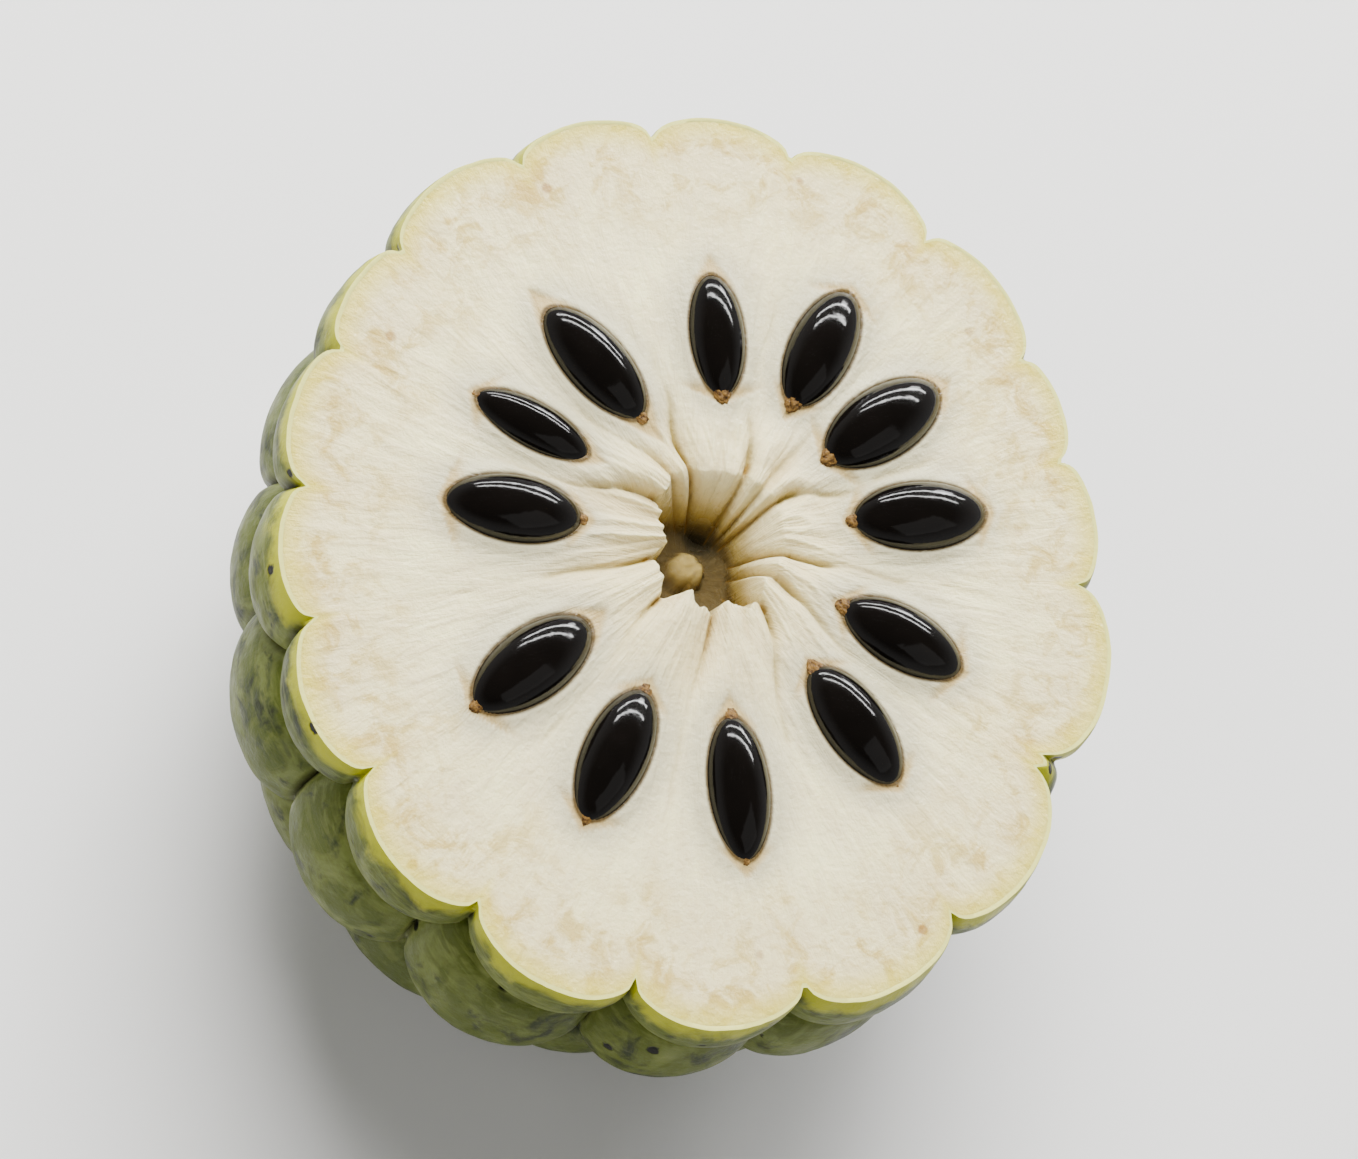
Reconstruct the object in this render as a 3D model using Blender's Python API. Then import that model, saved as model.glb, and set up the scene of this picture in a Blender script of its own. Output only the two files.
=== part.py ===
"""Half of a custard apple, cut straight across its core and lying on its rind.

Rind and flesh grew as one body, so they are one solid, fruit_half: a knobbly dome with a flat
cut face, a hollow where the core has pulled apart, and a pocket for each seed. The seeds are
loose in their pockets, so each is a solid of its own, seed_01 to seed_12.

Metres, +Z up along the core. The origin is the middle of the small flat spot it rests on.
"""

import math

import bmesh
import bpy
import numpy as np
from mathutils import Matrix, Vector

# The dome, without its knobs: an oval in plan, widest at its belt just under the cut.
FACE_HEIGHT = 0.0430
BELT_HEIGHT = 0.0350
DOME_DEPTH = 0.0330
HALF_WIDTH = 0.0348
HALF_LENGTH = 0.0406
OVAL_TURN = math.radians(-15)
FLATTENING = 2.3
DOME_SEGMENTS = 104
DOME_RINGS = 52

# The knobs: each is one carpel's end, a pillow that falls to a seam all round.
KNOB_HEIGHT = 0.0033
KNOB_SHOULDER = 0.0072
SEAM_ROUNDING = 0.0006
KNOB_VARIATION = 0.14
KNOB_SPACING = 0.0148
LOWER_KNOBS = 44
SETTLING_STEPS = 60
SEED_OF_CHANCE = 7

# The knobs that the knife went through, as (bearing in degrees, centre above the cut in mm).
RIM_KNOBS = (
    (84, 0), (64, -1), (44, 0), (26, 4), (7, -1), (346, 0),
    (331, -5), (315, 0), (292, -1), (269, 0), (247, 0), (225, -1),
    (203, 0), (182, -2), (162, 1), (142, -1), (123, 0), (103, -1),
)  # fmt: skip

# The hollow in the middle of the cut face, with a fold for each carpel round its wall.
HOLLOW_CENTRE = (0.0018, 0.0018)
HOLLOW_MOUTH = 0.0063
HOLLOW_FLOOR = 0.0028
HOLLOW_DEPTH = 0.0090
HOLLOW_SIDES = 48
HOLLOW_FOLDS = 12
FOLD_DEPTH = 0.08
ABOVE_CUT = 0.004

# The seeds, as (bearing, distance from the core, turn off the bearing, length, width),
# in degrees and millimetres, anticlockwise from +X.
SEEDS = (
    (83, 21.4, 8, 12.2, 5.4), (59, 24.2, 2, 13.4, 6.1), (38, 22.6, -3, 13.8, 6.7),
    (14, 21.3, -6, 13.2, 6.6), (340, 19.2, -7, 12.2, 6.2), (311, 19.7, -7, 12.6, 6.3),
    (275, 21.2, -3, 13.4, 5.8), (244, 20.7, -1, 13.6, 6.0), (214, 19.4, 4, 13.6, 6.5),
    (169, 17.4, 6, 12.6, 6.4), (143, 18.8, 10, 11.4, 4.6), (117, 19.8, 13, 13.0, 6.3),
)  # fmt: skip
SEED_THICKNESS = 0.86
SEED_SINK = 0.0004
SEED_SEGMENTS = 18
SEED_RINGS = 12
TIP_SHARPNESS = 0.60
POCKET_GAP = 0.00035

RIND = ("#7F9A3C", 0.45)
FLESH = ("#EFE8D4", 0.40)
SEED_COAT = ("#0E0B0A", 0.15)

MM = 0.001


def clear_scene():
    for item in list(bpy.data.objects):
        bpy.data.objects.remove(item)


def new_collection(name):
    collection = bpy.data.collections.new(name)
    bpy.context.scene.collection.children.link(collection)
    return collection


def new_material(name, finish):
    """A Principled material from an sRGB hex colour and a roughness."""
    hex_colour, roughness = finish
    srgb = [int(hex_colour[i : i + 2], 16) / 255 for i in (1, 3, 5)]
    linear = [c / 12.92 if c <= 0.04045 else ((c + 0.055) / 1.055) ** 2.4 for c in srgb]
    material = bpy.data.materials.new(name)
    material.use_nodes = True
    material.diffuse_color = (*linear, 1)
    shader = material.node_tree.nodes["Principled BSDF"]
    shader.inputs["Base Color"].default_value = (*linear, 1)
    shader.inputs["Roughness"].default_value = roughness
    shader.inputs["Metallic"].default_value = 0.0
    return material


def new_object(name, bm, materials, collection):
    mesh = bpy.data.meshes.new(name)
    bm.to_mesh(mesh)
    bm.free()
    for material in materials:
        mesh.materials.append(material)
    item = bpy.data.objects.new(name, mesh)
    collection.objects.link(item)
    return item


def smooth_round(item, angle=40):
    item.data.shade_smooth()
    item.data.set_sharp_from_angle(angle=math.radians(angle))


def dome_point(direction):
    """Where rays from the dome's centre meet the knobless dome; direction is (n, 3) unit rays."""
    cos_turn = math.cos(OVAL_TURN)
    sin_turn = math.sin(OVAL_TURN)
    across = direction[:, 0] * cos_turn + direction[:, 1] * sin_turn
    along = direction[:, 1] * cos_turn - direction[:, 0] * sin_turn
    plan = (across / HALF_WIDTH) ** 2 + (along / HALF_LENGTH) ** 2
    rise = np.abs(direction[:, 2]) / DOME_DEPTH
    reach = (plan ** (FLATTENING / 2) + rise**FLATTENING) ** (-1 / FLATTENING)
    return direction * reach[:, None] + [0, 0, BELT_HEIGHT]


def ray_to(points):
    rays = points - [0, 0, BELT_HEIGHT]
    return rays / np.linalg.norm(rays, axis=1)[:, None]


def rim_centres():
    """Centres of the knobs that the knife went through, on the dome."""
    rays = []
    for bearing, lift in RIM_KNOBS:
        height = FACE_HEIGHT - BELT_HEIGHT + lift * MM
        turn = math.radians(bearing)
        rays.append([math.cos(turn) * HALF_LENGTH, math.sin(turn) * HALF_LENGTH, height])
    rays = np.array(rays)
    return dome_point(rays / np.linalg.norm(rays, axis=1)[:, None])


def lower_centres(rim):
    """Centres of the knobs below the rim: a golden-angle spiral, then pushed evenly apart."""
    count = np.arange(LOWER_KNOBS)
    highest = 0.12
    rise = -1 + (count / (LOWER_KNOBS - 1)) ** 0.98 * (1 - highest)
    spread = np.sqrt(1 - rise**2)
    turn = count * math.radians(137.508)
    free = dome_point(np.stack([spread * np.cos(turn), spread * np.sin(turn), rise], axis=1))
    for _ in range(SETTLING_STEPS):
        others = np.concatenate([free, rim])
        gap = free[:, None, :] - others[None, :, :]
        distance = np.linalg.norm(gap, axis=2)
        np.fill_diagonal(distance, np.inf)
        push = np.clip(KNOB_SPACING / distance - 0.8, 0, 1) / distance
        move = (gap * push[:, :, None]).sum(axis=1) * KNOB_SPACING * 0.2
        move[0] = 0
        free = dome_point(ray_to(free + move))
    return free


def seam_distance(points, centres):
    """How far each point is from its knob's seam, and which knob it is on."""
    distance = np.linalg.norm(points[:, None, :] - centres[None, :, :], axis=2)
    nearest = np.argsort(distance, axis=1)[:, :2]
    rows = np.arange(len(points))
    first, second = nearest[:, 0], nearest[:, 1]
    between = np.linalg.norm(centres[second] - centres[first], axis=1)
    reach = distance[rows, second] ** 2 - distance[rows, first] ** 2
    return reach / (2 * between), first


def knobbly_dome(material):
    """The rind's outside as a closed ball, pushed out into knobs and flat where it rests."""
    bm = bmesh.new()
    bmesh.ops.create_uvsphere(bm, u_segments=DOME_SEGMENTS, v_segments=DOME_RINGS, radius=1)
    rays = np.array([v.co.normalized() for v in bm.verts])
    rim = rim_centres()
    centres = np.concatenate([lower_centres(rim), rim])
    points = dome_point(rays)
    seam, knob = seam_distance(points, centres)
    chance = np.random.default_rng(SEED_OF_CHANCE)
    size = 1 + KNOB_VARIATION * chance.uniform(-1, 1, len(centres))
    size[0] = 1
    seam = np.hypot(seam, SEAM_ROUNDING) - SEAM_ROUNDING
    shoulder = 1 - np.clip(seam / KNOB_SHOULDER, 0, 1)
    lift = KNOB_HEIGHT * size[knob] * (1 - shoulder**2)
    points += rays * lift[:, None]
    points[:, 2] = np.maximum(points[:, 2], 0)
    for vert, point in zip(bm.verts, points):
        vert.co = point
    return bm


def cut_across(bm):
    """Takes off everything above the knife's plane and closes the cut."""
    everything = bm.verts[:] + bm.edges[:] + bm.faces[:]
    bmesh.ops.bisect_plane(
        bm, geom=everything, plane_co=(0, 0, FACE_HEIGHT), plane_no=(0, 0, 1), clear_outer=True
    )
    rim = [edge for edge in bm.edges if edge.is_boundary]
    filled = bmesh.ops.contextual_create(bm, geom=rim)["faces"]
    for face in filled:
        face.material_index = 1
    bmesh.ops.recalc_face_normals(bm, faces=bm.faces)


def hollow_cutter(materials, collection):
    """The core's hollow: a tapering well with folds round its wall."""
    bm = bmesh.new()
    depth = HOLLOW_DEPTH + ABOVE_CUT
    mouth = HOLLOW_MOUTH + (HOLLOW_MOUTH - HOLLOW_FLOOR) * ABOVE_CUT / HOLLOW_DEPTH
    bmesh.ops.create_cone(
        bm,
        cap_ends=True,
        segments=HOLLOW_SIDES,
        radius1=HOLLOW_FLOOR,
        radius2=mouth,
        depth=depth,
        matrix=Matrix.Translation((0, 0, FACE_HEIGHT + ABOVE_CUT - depth / 2)),
    )
    for vert in bm.verts:
        turn = math.atan2(vert.co.y, vert.co.x)
        fold = 1 + FOLD_DEPTH * math.cos(HOLLOW_FOLDS * turn)
        vert.co.x = HOLLOW_CENTRE[0] + vert.co.x * fold
        vert.co.y = HOLLOW_CENTRE[1] + vert.co.y * fold
    return new_object("core_hollow_cutter", bm, materials, collection)


def seed_shape(length, width, grow=0.0):
    """A seed along +X: a pointed oval, flatter than it is wide, grown all round by grow."""
    bm = bmesh.new()
    bmesh.ops.create_uvsphere(
        bm,
        u_segments=SEED_SEGMENTS,
        v_segments=SEED_RINGS,
        radius=1,
        matrix=Matrix.Rotation(math.pi / 2, 4, "Y"),
    )
    for vert in bm.verts:
        along, across, up = vert.co
        belly = (1 - min(1, abs(along)) ** 2) ** TIP_SHARPNESS
        ring = math.hypot(across, up) or 1
        vert.co = Vector((along, across / ring * belly, up / ring * belly))
        vert.co *= Vector((length / 2, width / 2, width / 2 * SEED_THICKNESS))
    bm.normal_update()
    grown = [vert.co + vert.normal * grow for vert in bm.verts]
    for vert, point in zip(bm.verts, grown):
        vert.co = point
    return bm


def place_seed(item, bearing, distance, turn):
    angle = math.radians(bearing)
    item.location = (
        math.cos(angle) * distance,
        math.sin(angle) * distance,
        FACE_HEIGHT - SEED_SINK,
    )
    item.rotation_euler = (0, 0, math.radians(bearing + turn))


def build():
    clear_scene()
    parts = new_collection("custard_apple_half")
    cutters = new_collection("cutters")
    rind = new_material("rind", RIND)
    flesh = new_material("flesh", FLESH)
    seed_coat = new_material("seed_coat", SEED_COAT)

    dome = knobbly_dome(rind)
    cut_across(dome)
    fruit = new_object("fruit_half", dome, [rind, flesh], parts)

    hollow_cutter([flesh], cutters)
    for number, (bearing, distance, turn, length, width) in enumerate(SEEDS, 1):
        shape = seed_shape(length * MM, width * MM)
        seed = new_object(f"seed_{number:02d}", shape, [seed_coat], parts)
        place_seed(seed, bearing, distance * MM, turn)
        smooth_round(seed)
        shape = seed_shape(length * MM, width * MM, POCKET_GAP)
        pocket = new_object(f"pocket_cutter_{number:02d}", shape, [flesh], cutters)
        place_seed(pocket, bearing, distance * MM, turn)
    for cutter in cutters.objects:
        cutter.hide_render = True
        cutter.display_type = "WIRE"

    carve = fruit.modifiers.new("hollow and pockets", "BOOLEAN")
    carve.operation = "DIFFERENCE"
    carve.operand_type = "COLLECTION"
    carve.collection = cutters
    carve.material_mode = "TRANSFER"
    smooth_round(fruit)


build()
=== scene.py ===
"""Half of a custard apple, cut across its core and lying on its rind, laid out as an add-on.

Knobbly rind, moist cream flesh with a torn hollow where the core was, and twelve glossy black
seeds standing in their pockets. The CAD frame gives the height of the cut and each seed's place.
Everything is in metres, with +Z up along the core, but for the tables in millimetres.
"""

import math

import bpy
import numpy as np
from mathutils import Matrix, Vector, noise


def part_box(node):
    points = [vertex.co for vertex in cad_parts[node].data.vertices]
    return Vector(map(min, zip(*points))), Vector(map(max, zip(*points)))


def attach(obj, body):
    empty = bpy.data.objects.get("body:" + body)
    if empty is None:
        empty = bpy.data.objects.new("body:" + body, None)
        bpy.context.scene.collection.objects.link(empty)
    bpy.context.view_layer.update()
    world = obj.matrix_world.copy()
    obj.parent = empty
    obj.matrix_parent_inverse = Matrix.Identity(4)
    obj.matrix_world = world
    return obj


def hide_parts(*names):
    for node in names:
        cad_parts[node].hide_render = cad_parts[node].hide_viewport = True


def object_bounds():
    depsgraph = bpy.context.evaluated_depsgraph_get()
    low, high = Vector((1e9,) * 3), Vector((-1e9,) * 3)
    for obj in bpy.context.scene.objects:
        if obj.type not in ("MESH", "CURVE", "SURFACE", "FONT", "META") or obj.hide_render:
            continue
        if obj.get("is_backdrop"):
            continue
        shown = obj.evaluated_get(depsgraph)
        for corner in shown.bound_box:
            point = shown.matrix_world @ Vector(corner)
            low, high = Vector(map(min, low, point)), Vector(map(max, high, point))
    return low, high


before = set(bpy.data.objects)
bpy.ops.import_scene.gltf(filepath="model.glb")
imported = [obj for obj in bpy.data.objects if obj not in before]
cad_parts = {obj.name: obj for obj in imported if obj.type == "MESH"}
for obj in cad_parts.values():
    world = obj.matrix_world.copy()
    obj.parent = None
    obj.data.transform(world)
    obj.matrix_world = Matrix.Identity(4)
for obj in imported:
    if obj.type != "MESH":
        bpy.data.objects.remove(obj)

bl_info = {
    "name": "Custard Apple Half",
    "version": (1, 0, 0),
    "blender": (4, 5, 0),
    "location": "View3D > Sidebar > Fruit",
    "description": "Builds the half fruit's rind, flesh, seeds and stage round its CAD frame",
    "category": "Object",
}

MM = 0.001
GOLDEN_ANGLE = math.radians(137.508)
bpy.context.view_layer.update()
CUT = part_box("fruit_half")[1].z
SEED_NODES = sorted(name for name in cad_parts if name.startswith("seed_"))

# The dome without its knobs: an oval in plan, widest at its belt just under the cut.
BELT = 0.0350
DOME_DEPTH = 0.0290
HALF_WIDTH = 0.0318
HALF_LENGTH = 0.0366
OVAL_TURN = math.radians(-15)
FLATTENING = 2.3

# The knobs that the knife went through, as (bearing in degrees, centre above the cut in mm).
RIM_KNOBS = (
    (84, 0), (64, -1), (44, 0), (27, 4), (9, -1), (346, 0),
    (331, -5), (315, 0), (292, -1), (269, 0), (247, 0), (225, -1),
    (203, 0), (182, -2), (162, 1), (142, -1), (123, 0), (103, -1),
)
LOWER_KNOBS = 44
KNOB_SPACING = 0.0146
KNOB_ROUNDNESS = 2.2
# The lower knobs start on a spiral, which ends this far up from the pole to the belt. They then
# push each other apart by small steps, until spacing over distance comes down to SETTLED_AT.
SPIRAL_TOP = 0.88
SETTLING_STEPS = 60
SETTLING_PACE = 0.2
SETTLED_AT = 0.8
# How far inside the dome the skin's hidden inner side lies.
LINING = 1.2 * MM
SEAM_WIDTH = 0.45 * MM

# Elevations in degrees, the lowest, the highest and how many, between which the cut is sought.
KNIFE_TRIALS = (4, 24, 24)

# How finely the surfaces are divided: round the fruit, then in rows along each part.
COLUMNS = 640
OUTER_ROWS = 130
INNER_ROWS = 9
FLOOR_ROWS = 9
WALL_ROWS = 26
FACE_ROWS = 98

# The hollow in the cut face, off the core's line, and the stump of core left on its floor.
HOLLOW_CENTRE = np.array([0.0018, 0.0018])
HOLLOW_REACH = 0.0190
SHARP_SIDE = math.radians(222)
STUMP_RADIUS = 1.85 * MM
STUMP_PLACE = np.array([-0.0015, -0.0009])
PIT_PLACE = np.array([0.0005, 0.0027])
# Radius of the hollow's torn lip and of its floor, as (bearing in degrees, radius in mm).
LIP = (
    (25, 6.4), (50, 6.6), (74, 6.6), (101, 6.5), (115, 7.2), (154, 6.0), (168, 5.5), (187, 5.1),
    (213, 6.9), (227, 7.1), (239, 6.2), (249, 7.1), (269, 6.0), (290, 6.6), (320, 5.2), (349, 5.6),
)
FLOOR = ((45, 2.3), (100, 2.9), (150, 4.2), (187, 4.7), (240, 5.0), (290, 3.8), (340, 2.5))
# Seams between carpels, as (bearing at the hollow, bearing further out, how open it is).
SEAMS = (
    (36, 26, 0.9), (50, 48.5, 0.4), (66, 71, 0.8), (107, 100, 1.0), (124, 130, 0.45),
    (146, 156, 0.7), (196, 191.5, 0.9), (224, 229, 0.7), (262, 259.5, 0.6), (303, 293, 0.75),
    (328, 326, 0.6), (352, 357, 0.9),
)

# Streaks in the flesh: how many in an arc of one radian, and their length in mm.
STREAKS_ROUND = 4.6
STREAK_LENGTH = 8.0

# Beyond this the flesh takes no notice of a seed. The hollow counts as far from all of them.
SEED_REACH = 6 * MM
FAR_FROM_SEEDS = 9 * MM
FAR_FROM_RIM = 30 * MM

# Each seed's brown lumps: the larger at the inner tip and the smaller at the outer, in mm.
SEED_LUMPS = (
    (1.5, 0.0), (1.5, 0.0), (1.6, 0.0), (1.4, 0.7), (1.5, 0.6), (1.6, 0.9),
    (1.3, 1.0), (1.3, 1.1), (0.9, 1.3), (1.2, 0.6), (0.9, 1.0), (1.3, 0.8),
)
# How far the thin brown skin shows beyond each seed's inner and outer tip, in mm.
SEED_SKINS = (
    (0.4, 1.7), (1.4, 0.6), (0.6, 1.5), (0.8, 0.7), (0.9, 0.5), (0.8, 0.7),
    (1.6, 1.2), (1.0, 0.8), (1.9, 0.5), (1.0, 0.4), (1.2, 0.5), (2.6, 2.2),
)


def linear(hex_colour):
    """An sRGB hex colour as linear red, green, blue and alpha."""
    srgb = [int(hex_colour[i : i + 2], 16) / 255 for i in (1, 3, 5)]
    return (*(c / 12.92 if c <= 0.04045 else ((c + 0.055) / 1.055) ** 2.4 for c in srgb), 1.0)


def size(name, description, default, most=0.1):
    return bpy.props.FloatProperty(
        name=name, description=description, default=default, min=0, max=most, subtype="DISTANCE",
        unit="LENGTH", precision=5,
    )


def number(name, description, default, most):
    return bpy.props.FloatProperty(
        name=name, description=description, default=default, min=0, max=most
    )


def share(name, description, default):
    return bpy.props.FloatProperty(
        name=name, description=description, default=default, min=0, max=1, subtype="FACTOR"
    )


def angle(name, description, degrees):
    return bpy.props.FloatProperty(
        name=name, description=description, default=math.radians(degrees), subtype="ANGLE",
        unit="ROTATION",
    )


def colour(name, description, hex_colour):
    return bpy.props.FloatVectorProperty(
        name=name, description=description, default=linear(hex_colour), size=4, min=0, max=1,
        subtype="COLOR",
    )


class RindSettings(bpy.types.PropertyGroup):
    knob_height: size("Knob height", "How far a knob stands out of the dome", 0.0068)
    knob_width: size("Knob width", "Half of a knob's width along the rim", 0.0086)
    knob_drop: share("Knob overhang", "How much further out a knob's lower side stands", 0.18)
    seam_depth: size("Seam depth", "Extra depth of the seam between two knobs", 0.0010)
    wrinkle_height: size("Wrinkle height", "Height of the skin's shallow dents", 0.00045)
    skin: size("Skin", "Thickness of the green skin where it is cut", 0.0004)
    green: colour("Green", "The skin's own green", "#465010")
    # Bright green is painted as a glow of light in the skin near the cut.
    bright: colour("Bright green", "Yellow-green that glows near the cut", "#AFAF14")
    margin: colour("Margin", "Pale waxy green along the seams", "#7F8748")
    # Dark green serves the real blotches and also the painted shade on the underside.
    dark: colour("Dark green", "Blotches and the underside", "#1F2605")
    pit: colour("Pits", "Small near-black specks", "#0D0B04")


class FleshSettings(bpy.types.PropertyGroup):
    pocket_depth: size("Pocket depth", "How deep the flesh falls round a seed", 0.0026)
    fold_height: size("Fold height", "How far the torn folds round the hollow rise", 0.0008)
    seam_depth: size("Carpel seams", "Depth of the seams between carpels", 0.0009)
    hollow_depth: size("Hollow depth", "Depth of the hollow below the cut", 0.0064)
    fibre_height: size("Fibre height", "Height of the radial fibres", 0.00006)
    cream: colour("Cream", "The ripe flesh", "#F8EFB8")
    fibre: colour("Fibre", "The duller streaks between fibres", "#DFD0A2")
    # This grey is partly the wet flesh's own tone and partly painted shade round the seeds.
    wet_grey_and_shade: colour("Wet", "Translucent flesh round the seeds", "#BDB79A")
    tan: colour("Tan", "Gritty mottling near the rind", "#C0A44A")
    # Yellow is partly the flesh's own colour near the rind and partly a painted glow through it.
    yellow: colour("Yellow", "Where the rind's green shows through", "#DACA50")
    # The crease colour is partly a seam's own brown and partly painted shade in its groove.
    crease: colour("Crease", "Dry brown line at the foot of a seam", "#A18C4C")
    # The deep colour is part of the painted shade down the hollow.
    deep: colour("Deep", "Flesh half way down the hollow", "#A6904F")


class SeedSettings(bpy.types.PropertyGroup):
    tip: share("Tip", "How pointed the seed's ends are", 0.55)
    flat_top: number("Flat top", "Power of the seed's section: 2 is round", 2.12, 4)
    dents: size("Dents", "Depth of the shallow dents in the coat", 0.00007)
    coat: colour("Coat", "The hard black coat", "#060504")
    lump: colour("Lump", "Corky brown lump at a tip", "#3C260E")
    lump_pale: colour("Pale lump", "Its paler, worn parts", "#80602E")


class StageSettings(bpy.types.PropertyGroup):
    bearing: angle("Camera bearing", "Where the camera stands, from +X", 228)
    tilt: angle("Camera tilt", "How far off straight down the camera looks", 28)
    lens: number("Lens", "Focal length in millimetres", 120, 300)
    distance: size("Camera distance", "From the lens to the fruit", 0.400, 5)
    floor: colour("Floor", "The pale surface it lies on", "#EFEEEB")


# ---------------------------------------------------------------- nodes and meshes


def feed(tree, node, links):
    """Sets inputs. Each is fed a number, a socket, or a node, which stands for its first output."""
    for socket, value in links.items():
        if isinstance(value, bpy.types.Node):
            value = next(out for out in value.outputs if out.enabled)
        if isinstance(value, bpy.types.NodeSocket):
            tree.links.new(value, node.inputs[socket])
        else:
            node.inputs[socket].default_value = value


def add(tree, kind, links=None, **settings):
    """Adds one node, with its settings and what feeds its inputs."""
    node = tree.nodes.new(kind)
    for name, value in settings.items():
        setattr(node, name, value)
    feed(tree, node, links or {})
    return node


def calc(tree, operation, *values):
    return add(tree, "ShaderNodeMath", dict(enumerate(values)), operation=operation)


def vector(tree, operation, first, second=None):
    links = {0: first}
    if second is not None:
        links["Scale" if operation == "SCALE" else 1] = second
    return add(tree, "ShaderNodeVectorMath", links, operation=operation)


def blend(tree, factor, low, high):
    return add(tree, "ShaderNodeMix", {0: factor, 2: low, 3: high}, data_type="FLOAT")


def mix(tree, factor, low, high):
    links = {0: factor, 6: low, 7: high}
    return add(tree, "ShaderNodeMix", links, data_type="RGBA", clamp_factor=True)


def span(tree, value, source, target, smooth=False):
    """Maps value from the source pair to the target pair, and holds it there beyond them."""
    return add(
        tree,
        "ShaderNodeMapRange",
        {
            "Value": value, "From Min": source[0], "From Max": source[1],
            "To Min": target[0], "To Max": target[1],
        },
        interpolation_type="SMOOTHSTEP" if smooth else "LINEAR",
    )


def cloud_noise(tree, at, scale, detail=2.0, roughness=0.5, distortion=0.0, seed=None):
    """Smooth noise at these coordinates, with scale features to their unit."""
    links = {
        "Vector": at, "Scale": scale, "Detail": detail, "Roughness": roughness,
        "Distortion": distortion,
    }
    if seed is None:
        return add(tree, "ShaderNodeTexNoise", links)
    return add(tree, "ShaderNodeTexNoise", {**links, "W": seed}, noise_dimensions="4D")


def ramp(tree, value, *stops):
    """A Color Ramp with stops (place, value), where a value is grey or a colour."""
    node = add(tree, "ShaderNodeValToRGB", {0: value})
    elements = node.color_ramp.elements
    while len(elements) < len(stops):
        elements.new(0.5)
    for element, (place, shade) in zip(elements, stops):
        element.position = place
        element.color = shade if hasattr(shade, "__len__") else (shade, shade, shade, 1)
    return node


def bump_of(tree, height, strength, distance):
    links = {"Strength": strength, "Distance": distance, "Height": height}
    return add(tree, "ShaderNodeBump", links)


def axes(tree, value):
    return add(tree, "ShaderNodeSeparateXYZ", {0: value}).outputs


def point(tree, **links):
    return add(tree, "ShaderNodeCombineXYZ", links)


def cells(tree, at, scale):
    """Distance to the nearest of scattered points, and a chance number for each such point."""
    node = add(tree, "ShaderNodeTexVoronoi", {"Vector": at, "Scale": scale, "Randomness": 1.0})
    chance = add(tree, "ShaderNodeSeparateColor", {0: node.outputs["Color"]}).outputs[0]
    return node.outputs["Distance"], chance


def kept(tree, name, data_type="FLOAT"):
    """What a mesh keeps for each vertex under this name, in a geometry tree."""
    return add(tree, "GeometryNodeInputNamedAttribute", {"Name": name}, data_type=data_type)


def painted(tree, name):
    """What a mesh keeps for each vertex under this name, in a material."""
    return add(tree, "ShaderNodeAttribute", attribute_name=name).outputs["Fac"]


def store(tree, geometry, name, value):
    links = {"Geometry": geometry, "Name": name, "Value": value}
    return add(tree, "GeometryNodeStoreNamedAttribute", links, data_type="FLOAT")


def new_tree(name, numbers, **others):
    """A geometry node tree with a named input for each of these numbers and other sockets."""
    tree = bpy.data.node_groups.new(name, "GeometryNodeTree")
    kinds = {"Geometry": "Geometry", **dict.fromkeys(numbers, "Float"), **others}
    for label, kind in kinds.items():
        tree.interface.new_socket(label, in_out="INPUT", socket_type="NodeSocket" + kind)
    tree.interface.new_socket("Geometry", in_out="OUTPUT", socket_type="NodeSocketGeometry")
    return tree


def grown(name, mesh, tree, values):
    """The plain mesh that a geometry node tree makes of mesh, with these values for its inputs."""
    holder = bpy.data.objects.new(name, mesh)
    bpy.context.scene.collection.objects.link(holder)
    modifier = holder.modifiers.new(tree.name, "NODES")
    modifier.node_group = tree
    sockets = {s.name: s.identifier for s in tree.interface.items_tree if s.in_out == "INPUT"}
    for label, value in values.items():
        modifier[sockets[label]] = value
    graph = bpy.context.evaluated_depsgraph_get()
    made = bpy.data.meshes.new_from_object(holder.evaluated_get(graph), depsgraph=graph)
    holder.modifiers.remove(modifier)
    bpy.data.objects.remove(holder)
    return made


def piece(name, mesh, nodes, sharp=50):
    """Makes mesh a finished piece that stands for these CAD nodes."""
    mesh.name = name
    mesh.shade_smooth()
    mesh.set_sharp_from_angle(angle=math.radians(sharp))
    item = bpy.data.objects.new(name, mesh)
    bpy.context.scene.collection.objects.link(item)
    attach(item, "root")
    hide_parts(*nodes)
    return item


def coordinates(mesh):
    flat = np.empty(len(mesh.vertices) * 3, np.float32)
    mesh.vertices.foreach_get("co", flat)
    return flat.reshape(-1, 3).astype(float)


def keep(mesh, name, values):
    """Stores one number for each vertex, for a material or a node tree to read."""
    attribute = mesh.attributes.new(name, "FLOAT", "POINT")
    attribute.data.foreach_set("value", np.asarray(values, np.float32).ravel())


def keep_vectors(mesh, name, values):
    attribute = mesh.attributes.new(name, "FLOAT_VECTOR", "POINT")
    attribute.data.foreach_set("vector", np.asarray(values, np.float32).ravel())


def closed_rows(name, rows, first, last):
    """A closed mesh of rings, (rows, columns, 3), with a point at each end."""
    count, columns = rows.shape[:2]
    points = np.concatenate([rows.reshape(-1, 3), [first], [last]])
    across = np.arange(columns)
    beside = (across + 1) % columns
    quads = [
        np.stack([a + across, a + beside, a + columns + beside, a + columns + across], axis=1)
        for a in range(0, (count - 1) * columns, columns)
    ]
    end = count * columns
    start_fan = np.stack([np.full(columns, end), beside, across], axis=1)
    top = (count - 1) * columns
    end_fan = np.stack([np.full(columns, end + 1), top + across, top + beside], axis=1)
    faces = np.concatenate(quads).tolist() + start_fan.tolist() + end_fan.tolist()
    mesh = bpy.data.meshes.new(name)
    mesh.from_pydata(points.tolist(), [], faces)
    return mesh


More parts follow.
